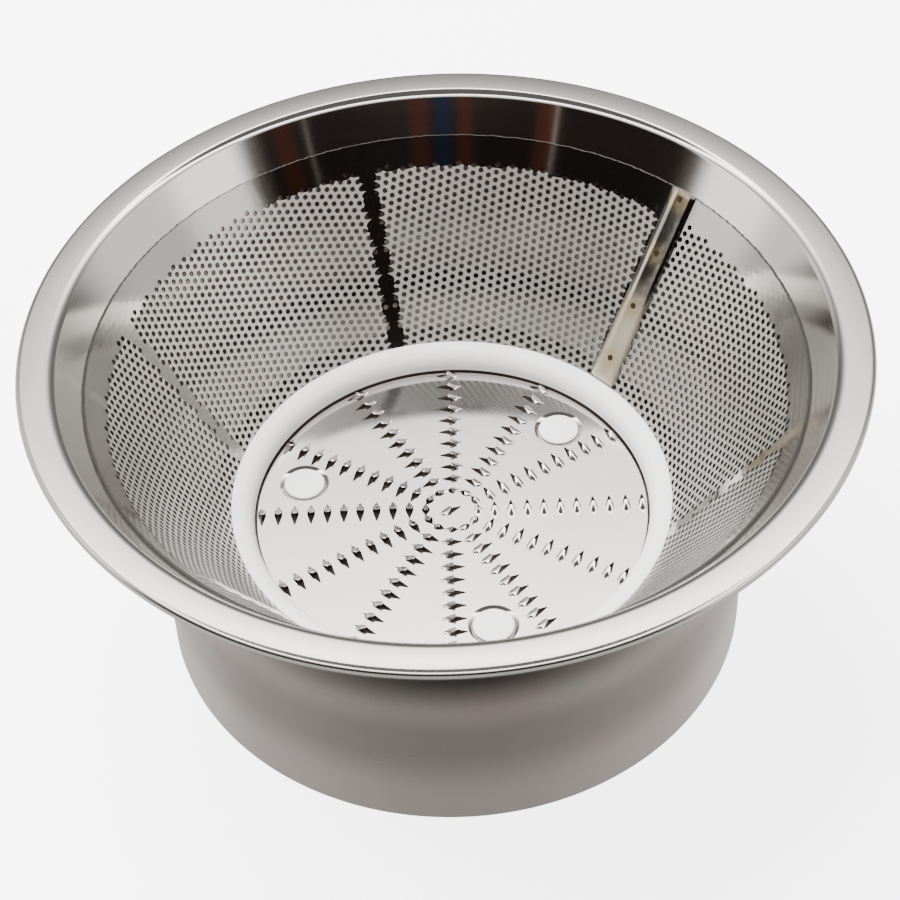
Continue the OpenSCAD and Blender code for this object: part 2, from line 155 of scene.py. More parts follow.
class Form:
    """Levels and radii of the basket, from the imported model's boxes and the sizes."""

    def __init__(self, scene):
        size = scene.basket_sizes
        rim_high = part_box("rim_ring")[1]
        disc_low, disc_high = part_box("grater_disc")
        self.rim_r, self.rim_z = rim_high.x, rim_high.z
        self.disc_r, self.disc_bottom = disc_high.x, disc_low.z
        self.disc_z = disc_low.z + size.disc_sheet
        self.ring_r = self.disc_r + size.disc_gap
        self.foot_r = self.ring_r + size.ring_foot
        depth = self.rim_z - self.disc_z
        self.slope = math.atan2(self.rim_r - size.rim_width - self.foot_r, depth)
        self.sheet_top = depth / math.cos(self.slope) - size.sheet_drop
        ring_low, ring_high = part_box("clamp_ring")
        self.channel_z, self.crown_z = ring_low.z, ring_high.z
        self.crown = (self.crown_z - self.disc_z) / math.cos(self.slope)
        self.apex = self.foot_r / math.sin(self.slope)

    def cone(self, slant, out=0.0):
        """Radius and height at a slant distance up the cone and a distance out from the sheet."""
        s, c = math.sin(self.slope), math.cos(self.slope)
        return self.foot_r + slant * s + out * c, self.disc_z + slant * c - out * s

    def slant_at_height(self, z, out):
        """Slant distance at which a face that lies out from the sheet reaches a height."""
        return (z - self.disc_z + out * math.sin(self.slope)) / math.cos(self.slope)

    def slant_at_radius(self, r, out):
        """Slant distance at which a face that lies out from the sheet reaches a radius."""
        return (r - self.foot_r - out * math.cos(self.slope)) / math.sin(self.slope)

    def rolled(self, x, y, turn, out=0.0):
        """Where a point of the flat sheet is once the sheet is rolled; y is measured from the tip."""
        r, z = self.cone(math.hypot(x, y) - self.apex, out)
        around = turn + math.atan2(x, y) / math.sin(self.slope)
        return Vector((r * math.cos(around), r * math.sin(around), z))


def given(scene):
    """What an operator starts from: the form, the sizes and the colours."""
    return Form(scene), scene.basket_sizes, scene.basket_colours


# ---------------------------------------------------------------- modelling by hand


def deselect():
    bpy.ops.object.select_all(action="DESELECT")


def only(piece):
    """Selects one piece and makes it the active one."""
    deselect()
    piece.select_set(True)
    bpy.context.view_layer.objects.active = piece


def edit():
    """Edit mode, where vertices are picked."""
    bpy.ops.object.mode_set(mode="EDIT")
    bpy.ops.mesh.select_mode(type="VERT")


def leave_edit():
    bpy.ops.object.mode_set(mode="OBJECT")


def named(name):
    """The piece that was just made, under its name."""
    piece = bpy.context.object
    piece.name = piece.data.name = name
    return piece


def pick_all():
    bpy.ops.mesh.select_all(action="SELECT")


def pick(piece, test):
    """Selects the vertices that pass the test, in edit mode, and what lies between them."""
    bpy.ops.mesh.select_mode(type="VERT")
    bpy.ops.mesh.select_all(action="DESELECT")
    mesh = bmesh.from_edit_mesh(piece.data)
    for vertex in mesh.verts:
        vertex.select = test(vertex)
    mesh.select_flush(True)
    bmesh.update_edit_mesh(piece.data)


def arc(centre, radius, start, end, steps):
    """Points on a circle in the outline's plane, with angles in degrees from outward towards up."""
    turns = [math.radians(start + (end - start) * i / steps) for i in range(steps + 1)]
    return [(centre[0] + radius * math.cos(a), centre[1] + radius * math.sin(a)) for a in turns]


def lathe(name, outline, steps=288, closed=True):
    """Draws an outline of radii and heights by extruding one vertex, and spins it round the axis."""
    deselect()
    bpy.ops.mesh.primitive_plane_add(size=MM)
    piece = named(name)
    edit()
    bpy.ops.mesh.merge(type="CENTER")
    bpy.ops.transform.translate(value=(outline[0][0], 0, outline[0][1]))
    for here, there in zip(outline, outline[1:]):
        step = (there[0] - here[0], 0, there[1] - here[1])
        bpy.ops.mesh.extrude_region_move(TRANSFORM_OT_translate={"value": step})
    if closed:
        ends = (0, len(outline) - 1)
        pick(piece, lambda vertex: vertex.index in ends)
        bpy.ops.mesh.edge_face_add()
    pick_all()
    bpy.ops.mesh.spin(steps=steps, angle=TURN, center=(0, 0, 0), axis=(0, 0, 1))
    pick_all()
    bpy.ops.mesh.remove_doubles(threshold=0.001 * MM)
    bpy.ops.mesh.normals_make_consistent(inside=False)
    leave_edit()
    return piece


def apply(piece, kind, **settings):
    """Adds one modifier to the piece and applies it."""
    only(piece)
    modifier = piece.modifiers.new(kind.lower(), kind)
    for key, value in settings.items():
        setattr(modifier, key, value)
    bpy.ops.object.modifier_apply(modifier=modifier.name)


def smooth(piece, degrees=35):
    """Shades the piece smooth, but for edges that are sharper than the angle."""
    only(piece)
    bpy.ops.object.shade_smooth_by_angle(angle=math.radians(degrees))


def flatten(piece):
    """Shades the level faces flat, so that the rounded edges beside them don't bend their light."""
    edit()
    bpy.ops.mesh.select_mode(type="FACE")
    bpy.ops.mesh.select_all(action="DESELECT")
    mesh = bmesh.from_edit_mesh(piece.data)
    for face in mesh.faces:
        face.select = abs(face.normal.z) > 0.9999
    bmesh.update_edit_mesh(piece.data)
    bpy.ops.mesh.faces_shade_flat()
    leave_edit()


def copied(piece, matrix, name):
    """A copy with its own mesh, put in its place inside the mesh."""
    copy = piece.copy()
    copy.data = piece.data.copy()
    copy.data.transform(matrix)
    copy.name = copy.data.name = name
    bpy.context.collection.objects.link(copy)
    return copy


def ring_of_places(radius, count, start):
    """Places spaced evenly round the axis, each turned to face out from it."""
    out = Matrix.Translation((radius, 0, 0))
    return [Matrix.Rotation(start + TURN * number / count, 4, "Z") @ out for number in range(count)]


def spread(pattern, places, name):
    """A copy of the pattern at each place; the pattern itself is removed."""
    copies = [copied(pattern, place, f"{name}_{number + 1}") for number, place in enumerate(places)]
    bpy.data.objects.remove(pattern)
    return copies


def joined(pieces, name):
    """Several pieces as one mesh."""
    deselect()
    for piece in pieces:
        piece.select_set(True)
    bpy.context.view_layer.objects.active = pieces[0]
    bpy.ops.object.join()
    return named(name)


def carve(piece, cutter):
    """Cuts the cutter's shape out of the piece and removes the cutter."""
    before = len(piece.data.polygons)
    apply(piece, "BOOLEAN", operation="DIFFERENCE", solver="EXACT", object=cutter)
    bpy.data.objects.remove(cutter)
    if len(piece.data.polygons) <= before:
        raise RuntimeError(f"{piece.name}: the cutter left no hole")


def refined(node, bevel, name):
    """A merged copy of a CAD node with its sharp edges rounded off."""
    piece = copied(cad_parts[node], Matrix.Identity(4), name)
    piece.parent = None
    for key in list(piece.keys()):
        del piece[key]
    only(piece)
    edit()
    pick_all()
    bpy.ops.mesh.remove_doubles(threshold=0.002 * MM)
    bpy.ops.mesh.dissolve_limited(angle_limit=math.radians(1))
    leave_edit()
    apply(piece, "BEVEL", width=bevel, segments=2, limit_method="ANGLE", angle_limit=math.radians(40))
    smooth(piece, 40)
    return piece


def keep(piece, materials, slot, *nodes):
    """Finishes a piece: its materials, its body and the CAD nodes that it stands for, which it hides; the
    slot is not used.
    """
    if not piece.data.polygons:
        raise RuntimeError(f"{piece.name} has no faces")
    indices = [face.material_index for face in piece.data.polygons]
    piece.data.materials.clear()
    for material in materials:
        piece.data.materials.append(material)
    piece.data.polygons.foreach_set("material_index", indices)
    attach(piece, "root")
    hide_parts(*nodes)


# ---------------------------------------------------------------- materials


class Wire:
    """An output of a node; Python's operators on it add Math nodes."""

    def __init__(self, paint, socket):
        self.paint, self.socket = paint, socket

    def math(self, operation, *values):
        return self.paint.node("ShaderNodeMath", {"operation": operation}, dict(enumerate(values)))

    def __add__(self, other):
        return self.math("ADD", self, other)

    def __sub__(self, other):
        return self.math("SUBTRACT", self, other)

    def __rsub__(self, other):
        return self.math("SUBTRACT", other, self)

    def __mul__(self, other):
        return self.math("MULTIPLY", self, other)

    def __truediv__(self, other):
        return self.math("DIVIDE", self, other)

    __radd__ = __add__
    __rmul__ = __mul__

    def step(self, low, high):
        """0 below low, 1 above high, and smooth between."""
        return self.paint.node(
            "ShaderNodeMapRange", {"interpolation_type": "SMOOTHSTEP"},
            {"Value": self, "From Min": low, "From Max": high})


class Nodes:
    """Adds nodes of any type to one tree."""

    def __init__(self, tree):
        self.tree = tree

    def node(self, kind, settings, values, output=0):
        """A node of any type: its settings, its inputs' values or links, and the output asked for."""
        node = self.tree.nodes.new(kind)
        for key, value in settings.items():
            if key == "stops":
                while len(node.color_ramp.elements) < len(value):
                    node.color_ramp.elements.new(1)
                for element, (position, tone) in zip(node.color_ramp.elements, value):
                    element.position, element.color = position, (*tone, 1)
            else:
                setattr(node, key, value)
        for key, value in values.items():
            socket = node.inputs[key]
            if isinstance(value, Wire):
                self.tree.links.new(value.socket, socket)
            else:
                socket.default_value = value
        return Wire(self, node.outputs[output])

    def point(self, x, y, z):
        return self.node("ShaderNodeCombineXYZ", {}, {0: x, 1: y, 2: z})

    def noise(self, where, scale, detail=2.0, roughness=0.5):
        values = {"Vector": where, "Scale": scale, "Detail": detail, "Roughness": roughness}
        return self.node("ShaderNodeTexNoise", {}, values)

    def blend(self, factor, first, second):
        """A colour between two colours; 6, 7 and 2 are the sockets that carry colours."""
        values = {"Factor": factor, 6: first, 7: second}
        return self.node("ShaderNodeMix", {"data_type": "RGBA"}, values, 2)

    def axes(self, vector):
        return [self.node("ShaderNodeSeparateXYZ", {}, {0: vector}, axis) for axis in "XYZ"]


class Paint(Nodes):
    """One material's nodes, with the piece's own coordinates ready as wires."""

    def __init__(self, name, **constants):
        self.material = bpy.data.materials.new(name)
        self.material.use_nodes = True
        super().__init__(self.material.node_tree)
        self.shader = self.tree.nodes["Principled BSDF"]
        for key, value in constants.items():
            self.shader.inputs[key.replace("_", " ")].default_value = value
        self.place = self.node("ShaderNodeTexCoord", {}, {}, "Object")
        self.x, self.y, self.z = self.axes(self.place)
        self.radius = hypotenuse(self.x, self.y)
        self.around = self.y.math("ARCTAN2", self.y, self.x)

    def feed(self, name, wire):
        self.tree.links.new(wire.socket, self.shader.inputs[name])

    def bump(self, height, distance, strength=1.0):
        values = {"Height": height, "Distance": distance, "Strength": strength}
        self.feed("Normal", self.node("ShaderNodeBump", {}, values))

    def turned_grain(self, lines_per_metre, wander=1.5):
        """Fine lines that run round the axis, as from a lathe or a polishing wheel."""
        where = self.point(self.radius * lines_per_metre, self.around * wander, self.z * lines_per_metre)
        return self.noise(where, 1.0, 3.0, 0.6)


def hypotenuse(first, second):
    """The length of two legs at right angles."""
    square = first * first + second * second
    return square.math("SQRT", square)


def shade(value, factor=1.0):
    """A colour made lighter or darker, with full alpha."""
    return (*[min(1.0, channel * factor) for channel in value], 1)


def steel(name, tone, roughness, spread, lines, line_depth, **constants):
    """Stainless steel with turned grain; spread is how far the roughness strays."""
    paint = Paint(name, Metallic=1.0, **constants)
    grain = paint.turned_grain(lines)
    cloud = paint.noise(paint.place, 60.0, 3.0)
    wipe = paint.noise(paint.point(paint.radius * 120, paint.around * 3, paint.z * 120), 1.0, 2.0)
    paint.feed("Base Color", paint.blend(grain * 0.5 + cloud * 0.5, shade(tone, 0.94), shade(tone, 1.05)))
    paint.feed("Roughness", roughness + (grain - 0.5) * spread + (wipe - 0.5) * spread)
    paint.bump(grain, line_depth)
    return paint


def perforated_steel(tones):
    """The etched part of the sheet: satin, a little cloudy."""
    paint = Paint("perforated_steel", Metallic=1.0)
    cloud = paint.noise(paint.place, 45.0, 3.0)
    fine = paint.noise(paint.place, 2500.0, 2.0)
    paint.feed("Base Color", paint.blend(cloud, shade(tones.steel, 0.87), shade(tones.steel, 1.02)))
    paint.feed("Roughness", 0.36 + cloud * 0.12 + fine * 0.06)
    paint.bump(fine, 0.004 * MM)
    return paint.material


def plain_steel(tones):
    """The sheet where it has no holes: bright-rolled, with a trace of waviness; its colour is painted
    darker as a dark painted reflection.
    """
    paint = Paint("plain_steel", Metallic=1.0)
    cloud = paint.noise(paint.place, 45.0, 3.0)
    # Painted reflection: the plain strips are painted darker than the etched sheet of the same steel.
    paint.feed("Base Color", paint.blend(cloud, shade(tones.steel, 0.54), shade(tones.steel, 0.66)))
    paint.feed("Roughness", 0.05 + cloud * 0.07)
    paint.bump(paint.noise(paint.place, 120.0, 2.0), 0.02 * MM)
    return paint.material


def pierced_steel(tones):
    """The walls of the holes: dull, and painted dark as the shade inside the holes."""
    paint = Paint("pierced_steel", Metallic=1.0)
    cloud = paint.noise(paint.place, 300.0, 2.0)
    # Painted shade: the hole walls are painted near black.
    paint.feed("Base Color", paint.blend(cloud, shade(tones.steel, 0.12), shade(tones.steel, 0.22)))
    paint.feed("Roughness", 0.45 + cloud * 0.2)
    return paint.material


def lap_steel(tones, form, size):
    """The seam's inner layer: heat tint round each weld, over a painted reflection that is cream low down
    and dark above.
    """
    paint = Paint("lap_steel", Metallic=1.0)
    turn = size.seam_direction
    first, gap = weld_places(form, size)
    slant = (paint.z - form.disc_z) / math.cos(form.slope)
    near = slant.math("PINGPONG", slant - first, gap / 2)
    side = paint.y * math.cos(turn) - paint.x * math.sin(turn)
    away = hypotenuse(near, side)
    cloud = paint.noise(paint.place, 300.0, 3.0)
    tint = 1 - (away + (cloud - 0.5) * 2 * MM).step(0.8 * MM, 4.2 * MM)
    # Painted reflection: the lap is painted cream low down and dark higher up.
    low = 1 - (slant + (cloud - 0.5) * 6 * MM).step(20 * MM, 34 * MM)
    painted_reflection = paint.blend(low, shade(tones.steel, 0.36), shade((0.93, 0.85, 0.68)))
    paint.feed("Base Color", paint.blend(tint * 0.6, painted_reflection, shade(tones.heat, 0.9)))
    paint.feed("Roughness", 0.07 + cloud * 0.06 + low * 0.24 + tint * 0.05)
    paint.bump(paint.noise(paint.place, 180.0, 2.0), 0.06 * MM)
    return paint.material


def mirror_steel(tones):
    """Bright-rolled disc with faint wipes and a trace of waviness from the press."""
    paint = Paint("mirror_steel", Metallic=1.0)
    wipe = paint.noise(paint.place, 90.0, 4.0, 0.6)
    paint.feed("Base Color", paint.blend(wipe, shade(tones.mirror, 0.97), shade(tones.mirror, 1.03)))
    paint.feed("Roughness", 0.05 + wipe * 0.08)
    paint.bump(paint.noise(paint.place, 70.0, 1.0), 0.02 * MM)
    return paint.material


def skirt_steel(tones):
    """Grey satin with faint brown, rose and green patches; a painted highlight makes it lighter low down,
    and a band of painted shade darkens it higher up.
    """
    paint = steel("skirt_steel", tones.skirt, 0.25, 0.10, 6000.0, 0.004 * MM, Anisotropic=0.3)
    patch = paint.noise(paint.place, 22.0, 3.0, 0.6)

    def tinged(red, green, blue):
        return tones.skirt[0] * red, tones.skirt[1] * green, tones.skirt[2] * blue

    brown, plain = tinged(1.10, 0.98, 0.88), tinged(1, 1, 1)
    rose, green = tinged(1.06, 0.95, 0.98), tinged(0.96, 1.04, 0.95)
    stops = [(0.30, brown), (0.45, plain), (0.58, rose), (0.72, green)]
    ramp = paint.node("ShaderNodeValToRGB", {"stops": stops}, {0: patch})
    # Painted highlight: the lowest part of the skirt is painted lighter.
    low = 1 - (paint.z + (patch - 0.5) * 8 * MM).step(4 * MM, 16 * MM)
    painted_light_low = paint.blend(low * 0.4, ramp, shade(tones.skirt, 1.25))
    # Painted shade: a band higher up the skirt is painted darker.
    painted_shade_belt = paint.z.step(9 * MM, 22 * MM) * (1 - paint.z.step(27 * MM, 38 * MM))
    paint.feed("Base Color", paint.blend(painted_shade_belt * 0.42, painted_light_low, shade(tones.skirt, 0.25)))
    return paint.material


def white_plastic(tones, form):
    """Moulded plastic with an orange-peel skin; painted shade darkens it under the disc, behind the sheet
    and in the corner at the foot of the ring's inner wall.
    """
    paint = Paint("white_plastic", IOR=1.46)
    cloud = paint.noise(paint.place, 55.0, 3.0)
    clean = paint.blend(cloud, shade(tones.plastic, 0.965), shade(tones.plastic, 1.02))
    ring, risen = form.ring_r, paint.z.step(form.disc_bottom, form.disc_bottom + 0.1 * MM)
    # Painted shade: the plastic is painted dark under the disc, behind the sheet and in the corner between
    # the ring and the disc.
    under_disc = (1 - paint.radius.step(ring - 1.5 * MM, ring - 0.3 * MM)) * (1 - risen)
    behind_sheet = paint.radius.step(ring + 4.9 * MM, ring + 5.3 * MM)
    above_channel = paint.z.step(form.channel_z + 0.2 * MM, form.channel_z + 0.6 * MM)
    corner = (1 - paint.z.step(form.disc_z + 0.35 * MM, form.disc_z + 0.6 * MM)) * risen
    corner = corner * paint.radius.step(ring - 0.3 * MM, ring - 0.1 * MM)
    painted_shade_mask = corner.math("MAXIMUM", (under_disc + behind_sheet) * above_channel, corner)
    paint.feed("Base Color", paint.blend(painted_shade_mask, clean, shade(tones.painted_shade)))
    paint.feed("Roughness", 0.34 + cloud * 0.12)
    paint.bump(paint.noise(paint.place, 1400.0, 2.0), 0.012 * MM)
    return paint.material


def weld_steel(tones):
    """A weld spot: burnt in the middle and rough."""
    paint = Paint("weld_steel", Metallic=1.0)
    cloud = paint.noise(paint.place, 900.0, 3.0)
    paint.feed("Base Color", paint.blend(cloud, shade(tones.weld), shade(tones.heat, 0.16)))
    paint.feed("Roughness", 0.35 + cloud * 0.3)
    paint.bump(cloud, 0.05 * MM)
    return paint.material


def coupling_plastic(tones):
    """Dark moulded plastic with a fine grain."""
    paint = Paint("dark_plastic", IOR=1.5)
    cloud = paint.noise(paint.place, 220.0, 3.0)
    paint.feed("Base Color", paint.blend(cloud, shade(tones.coupling, 0.8), shade(tones.coupling, 1.5)))
    paint.feed("Roughness", 0.38 + cloud * 0.2)
    paint.bump(paint.noise(paint.place, 1800.0, 2.0), 0.02 * MM)
    return paint.material


def weld_places(form, size):
    """Slant distance of the seam's lowest weld spot, and the gap from one spot to the next."""
    first = form.crown + size.weld_foot
    return first, (form.sheet_top - size.weld_drop - first) / (size.welds - 1)


# ---------------------------------------------------------------- pieces


class BASKET_OT_rim(bpy.types.Operator):
    """Rim with its curled edge, inner roll and collar"""

    bl_idname = "basket.rim"
    bl_label = "Rim"

    def execute(self, context):
        form, size, tones = given(context.scene)
        out = size.sheet + size.clearance
        mouth = form.cone(form.slant_at_height(form.rim_z, out), out)[0]
        lean = 90 - math.degrees(form.slope)
        flat = mouth + size.roll_radius * math.tan(math.radians(lean / 2))
        edge = (form.rim_r - size.edge_radius, form.rim_z - size.edge_radius)
        roll = (flat, form.rim_z - size.roll_radius)
        end = form.sheet_top - size.collar_lap
        outline = arc(edge, size.edge_radius, -90, 90, 14)
        outline += arc(roll, size.roll_radius, 90, 90 + lean, 12)
        outline += [form.cone(end, out), form.cone(end, out + size.rim_sheet)]
        outline += arc(roll, size.roll_radius - size.rim_sheet, 90 + lean, 90, 8)
        outline += arc(edge, size.edge_radius - size.rim_sheet, 90, -90, 8)
        piece = lathe("rim_ring", outline)
        for face in piece.data.polygons:
            face.material_index = 1 if math.hypot(face.center.x, face.center.y) < flat else 0
        smooth(piece)
        satin = steel("satin_steel", tones.steel, 0.19, 0.08, 5000.0, 0.003 * MM, Anisotropic=0.4)
        polish = steel("polished_steel", tones.steel, 0.09, 0.05, 3000.0, 0.0015 * MM)
        keep(piece, [satin.material, polish.material], "satin_steel", "rim_ring")
        return {"FINISHED"}


def perforated_cell(size):
    """One cell of the sheet: an eight-sided hole inside a six-cornered border."""
    deselect()
    bpy.ops.mesh.primitive_circle_add(vertices=HOLE_CORNERS, radius=size.hole / 2)
    hole = named("hole")
    deselect()
    bpy.ops.mesh.primitive_plane_add(size=1)
    border = named("border")
    edit()
    bpy.ops.transform.resize(value=(size.column_pitch, size.row_pitch, 1))
    bpy.ops.mesh.delete(type="ONLY_FACE")
    for side in (-1, 1):
        pick(border, lambda vertex: vertex.co.x * side > 0)
        bpy.ops.mesh.subdivide()
    leave_edit()
    cell = joined([hole, border], "cell")
    edit()
    pick_all()
    bpy.ops.mesh.bridge_edge_loops()
    pick_all()
    bpy.ops.mesh.normals_make_consistent(inside=False)
    leave_edit()
    return cell


def sheet_panel(form, size, name, cw_margin, ccw_margin):
    """A sixth of the sheet, centred on +X: columns of cells, closed in the margins, rolled and trimmed."""
    etched, plain, walls = range(3)
    plain_past_holes = 0.6 * MM
    half = math.pi / 6
    flat_half = half * math.sin(form.slope)
    widest = (form.apex + form.sheet_top) * math.sin(flat_half)
    lowest = (form.apex + size.sheet_foot) * math.cos(flat_half) - size.row_pitch
    pairs = math.ceil(widest / size.column_pitch / 2)
    rows = math.ceil((form.apex + form.sheet_top - lowest) / size.row_pitch) + 2
    panel = perforated_cell(size)
    panel.name = panel.data.name = name
    edit()
    pick_all()
    bpy.ops.transform.translate(value=(-2 * pairs * size.column_pitch, lowest, 0))
    leave_edit()
    merge = {"use_relative_offset": False, "use_constant_offset": True,
             "use_merge_vertices": True, "merge_threshold": 0.01 * MM}
    apply(panel, "ARRAY", count=rows, constant_offset_displace=(0, size.row_pitch, 0), **merge)
    apply(panel, "ARRAY", count=2,
          constant_offset_displace=(size.column_pitch, size.row_pitch / 2, 0), **merge)
    apply(panel, "ARRAY", count=2 * pairs + 1,
          constant_offset_displace=(2 * size.column_pitch, 0, 0), **merge)

    def in_margin(vertex, more=0.0):
        reach, turn = math.hypot(vertex.co.x, vertex.co.y), math.atan2(vertex.co.x, vertex.co.y)
        slant = reach - form.apex
        return (slant < size.holes_from + more or slant > size.holes_to - more
                or reach * math.sin(flat_half + turn) < cw_margin + more
                or reach * math.sin(flat_half - turn) < ccw_margin + more)

    edit()
    pick(panel, in_margin)
    bpy.ops.mesh.fill_holes(sides=HOLE_CORNERS)
    leave_edit()
    for _ in (etched, plain, walls):
        panel.data.materials.append(None)
    edit()
    pick(panel, lambda vertex: in_margin(vertex, plain_past_holes))
    panel.active_material_index = plain
    bpy.ops.object.material_slot_assign()
    leave_edit()
    for vertex in panel.data.vertices:
        vertex.co = form.rolled(vertex.co.x, vertex.co.y, 0)
    edit()
    cuts = [((0, 0, form.cone(size.sheet_foot)[1]), (0, 0, -1)),
            ((0, 0, form.cone(form.sheet_top)[1]), (0, 0, 1)),
            ((0, 0, 0), (-math.sin(half), math.cos(half), 0)),
            ((0, 0, 0), (-math.sin(half), -math.cos(half), 0))]
    for place, outward in cuts:
        pick_all()
        bpy.ops.mesh.bisect(plane_co=place, plane_no=outward, clear_outer=True)
    pick_all()
    mesh = bmesh.from_edit_mesh(panel.data)
    if sum(face.normal.x for face in mesh.faces) < 0:
        bpy.ops.mesh.flip_normals()
    leave_edit()
    apply(panel, "SOLIDIFY", thickness=size.sheet, offset=1, material_offset_rim=walls)
    smooth(panel)
    return panel


class BASKET_OT_sheet(bpy.types.Operator):
    """Perforated sheet in six panels, with plain strips between them"""

    bl_idname = "basket.sheet"
    bl_label = "Perforated sheet"

    def execute(self, context):
        form, size, tones = given(context.scene)
        materials = [perforated_steel(tones), plain_steel(tones), pierced_steel(tones)]
        plain, seam = size.strip / 2, size.seam / 2
        after_seam = sheet_panel(form, size, "panel_after_seam", seam, plain)
        between = sheet_panel(form, size, "panel_between", plain, plain)
        before_seam = sheet_panel(form, size, "panel_before_seam", plain, seam)
        patterns = [after_seam] + [between] * 4 + [before_seam]
        for number, pattern in enumerate(patterns):
            turn = size.seam_direction + (number + 0.5) * TURN / len(patterns)
            piece = copied(pattern, Matrix.Rotation(turn, 4, "Z"), f"sheet_panel_{number + 1}")
            keep(piece, materials, "perforated_steel", "mesh_cone")
        for pattern in (after_seam, between, before_seam):
            bpy.data.objects.remove(pattern)
        return {"FINISHED"}


class BASKET_OT_seam(bpy.types.Operator):
    """Inner layer of the lap seam, and its weld spots"""

    bl_idname = "basket.seam"
    bl_label = "Lap seam"

    def execute(self, context):
        form, size, tones = given(context.scene)
        foot_gap, wedge, soft = 0.5 * MM, 0.16, 0.1 * MM
        low, high = form.crown + foot_gap, form.sheet_top
        deselect()
        bpy.ops.mesh.primitive_grid_add(x_subdivisions=6, y_subdivisions=40, size=1)
        lap = named("seam_lap")
        edit()
        bpy.ops.transform.resize(value=(size.lap, high - low, 1))
        bpy.ops.transform.translate(value=(0, form.apex + (low + high) / 2, 0))
        leave_edit()
        for vertex in lap.data.vertices:
            lift = min(1.0, (0.5 - vertex.co.x / size.lap) / wedge)
            out = -size.clearance / 2 - size.sheet * lift
            vertex.co = form.rolled(vertex.co.x, vertex.co.y, size.seam_direction, out)
        outward = Vector((math.cos(size.seam_direction), math.sin(size.seam_direction), 0))
        if lap.data.polygons[0].normal.dot(outward) < 0:
            lap.data.flip_normals()
        apply(lap, "SOLIDIFY", thickness=size.sheet, offset=1)
        apply(lap, "BEVEL", width=soft, segments=2, limit_method="ANGLE", angle_limit=math.radians(50))
        smooth(lap)
        keep(lap, [lap_steel(tones, form, size)], "perforated_steel", "mesh_cone")
        first, gap = weld_places(form, size)
        dent, ridge, foot = 0.03 * MM, 0.09 * MM, -0.02 * MM
        spot = lathe("spot", [(0, dent), (0.30 * MM, 0.04 * MM), (0.45 * MM, ridge),
                              (0.60 * MM, 0.06 * MM), (0.72 * MM, foot)], 24, closed=False)
        smooth(spot, 60)
        around = Matrix.Rotation(size.seam_direction, 4, "Z")
        lean = Matrix.Rotation(form.slope - math.pi / 2, 4, "Y")
        places = []
        for number in range(size.welds):
            r, z = form.cone(first + number * gap, -size.sheet - size.clearance / 2)
            places.append(around @ Matrix.Translation((r, 0, z)) @ lean)
        spots = joined(spread(spot, places, "spot"), "seam_welds")
        keep(spots, [weld_steel(tones)], "weld_steel", "seam_welds")
        return {"FINISHED"}


def tooth_cutter(grater, stretch, depth):
    """A pointed prism, wide end towards -Y, that cuts one tooth's hole."""
    half, wide = grater.hole_length * stretch / 2, grater.hole_width / 2
    blunt, inset, shoulder, point = 0.35, 0.32, 0.35, 0.35
    deselect()
    bpy.ops.mesh.primitive_circle_add(
        vertices=HOLE_CORNERS, radius=wide, fill_type="NGON", rotation=(0, 0, math.pi / HOLE_CORNERS))
    cutter = named("tooth_hole")
    bpy.ops.object.transform_apply(location=False, rotation=True, scale=False)
    edit()
    pick(cutter, lambda vertex: vertex.co.y < 0)
    bpy.ops.transform.resize(value=(1, blunt, 1), center_override=(0, 0, 0))
    bpy.ops.transform.translate(value=(0, inset * wide - half, 0))
    pick(cutter, lambda vertex: vertex.co.y > 0 and abs(vertex.co.x) > wide / 2)
    bpy.ops.transform.translate(value=(0, -half * shoulder, 0))
    pick(cutter, lambda vertex: vertex.co.y > wide / 2)
    bpy.ops.transform.resize(value=(point, 1, 1), center_override=(0, 0, 0))
    bpy.ops.transform.translate(value=(0, half - wide, 0))
    pick_all()
    bpy.ops.mesh.extrude_region_move(TRANSFORM_OT_translate={"value": (0, 0, 2 * depth)})
    pick_all()
    bpy.ops.transform.translate(value=(0, 0, -depth))
    bpy.ops.mesh.normals_make_consistent(inside=False)
    leave_edit()
    return cutter


def tooth_tongue(grater, stretch):
    """The tongue: a swelling that rises out of the disc behind the hole and turns up to a blunt point."""
    half, wide = grater.hole_length * stretch / 2, grater.hole_width / 2
    reach, rise, low, sheet = 0.84 * half, grater.rise * stretch, 0.1 * MM, 0.34 * MM
    deselect()
    bpy.ops.mesh.primitive_grid_add(x_subdivisions=4, y_subdivisions=8, size=2)
    tongue = named("tongue")
    for vertex in tongue.data.vertices:
        across, along = vertex.co.x, (vertex.co.y + 1) / 2
        y = -half - grater.blister + along * (grater.blister + reach)
        past = max(0.0, (y + half) / reach)
        swell = min(1.0, (y + half + grater.blister) / grater.blister)
        narrowing = (0.55 + 0.45 * swell) * (1.05 - 0.62 * past ** 1.3)
        height = low * swell + (rise - low) * past ** 1.25
        crown = (0.16 + 0.14 * swell) * MM * (1 - 0.6 * past)
        vertex.co = (across * wide * narrowing, y, height - crown * across * across)
    apply(tongue, "SOLIDIFY", thickness=sheet, offset=-1)
    smooth(tongue, 50)
    return tongue


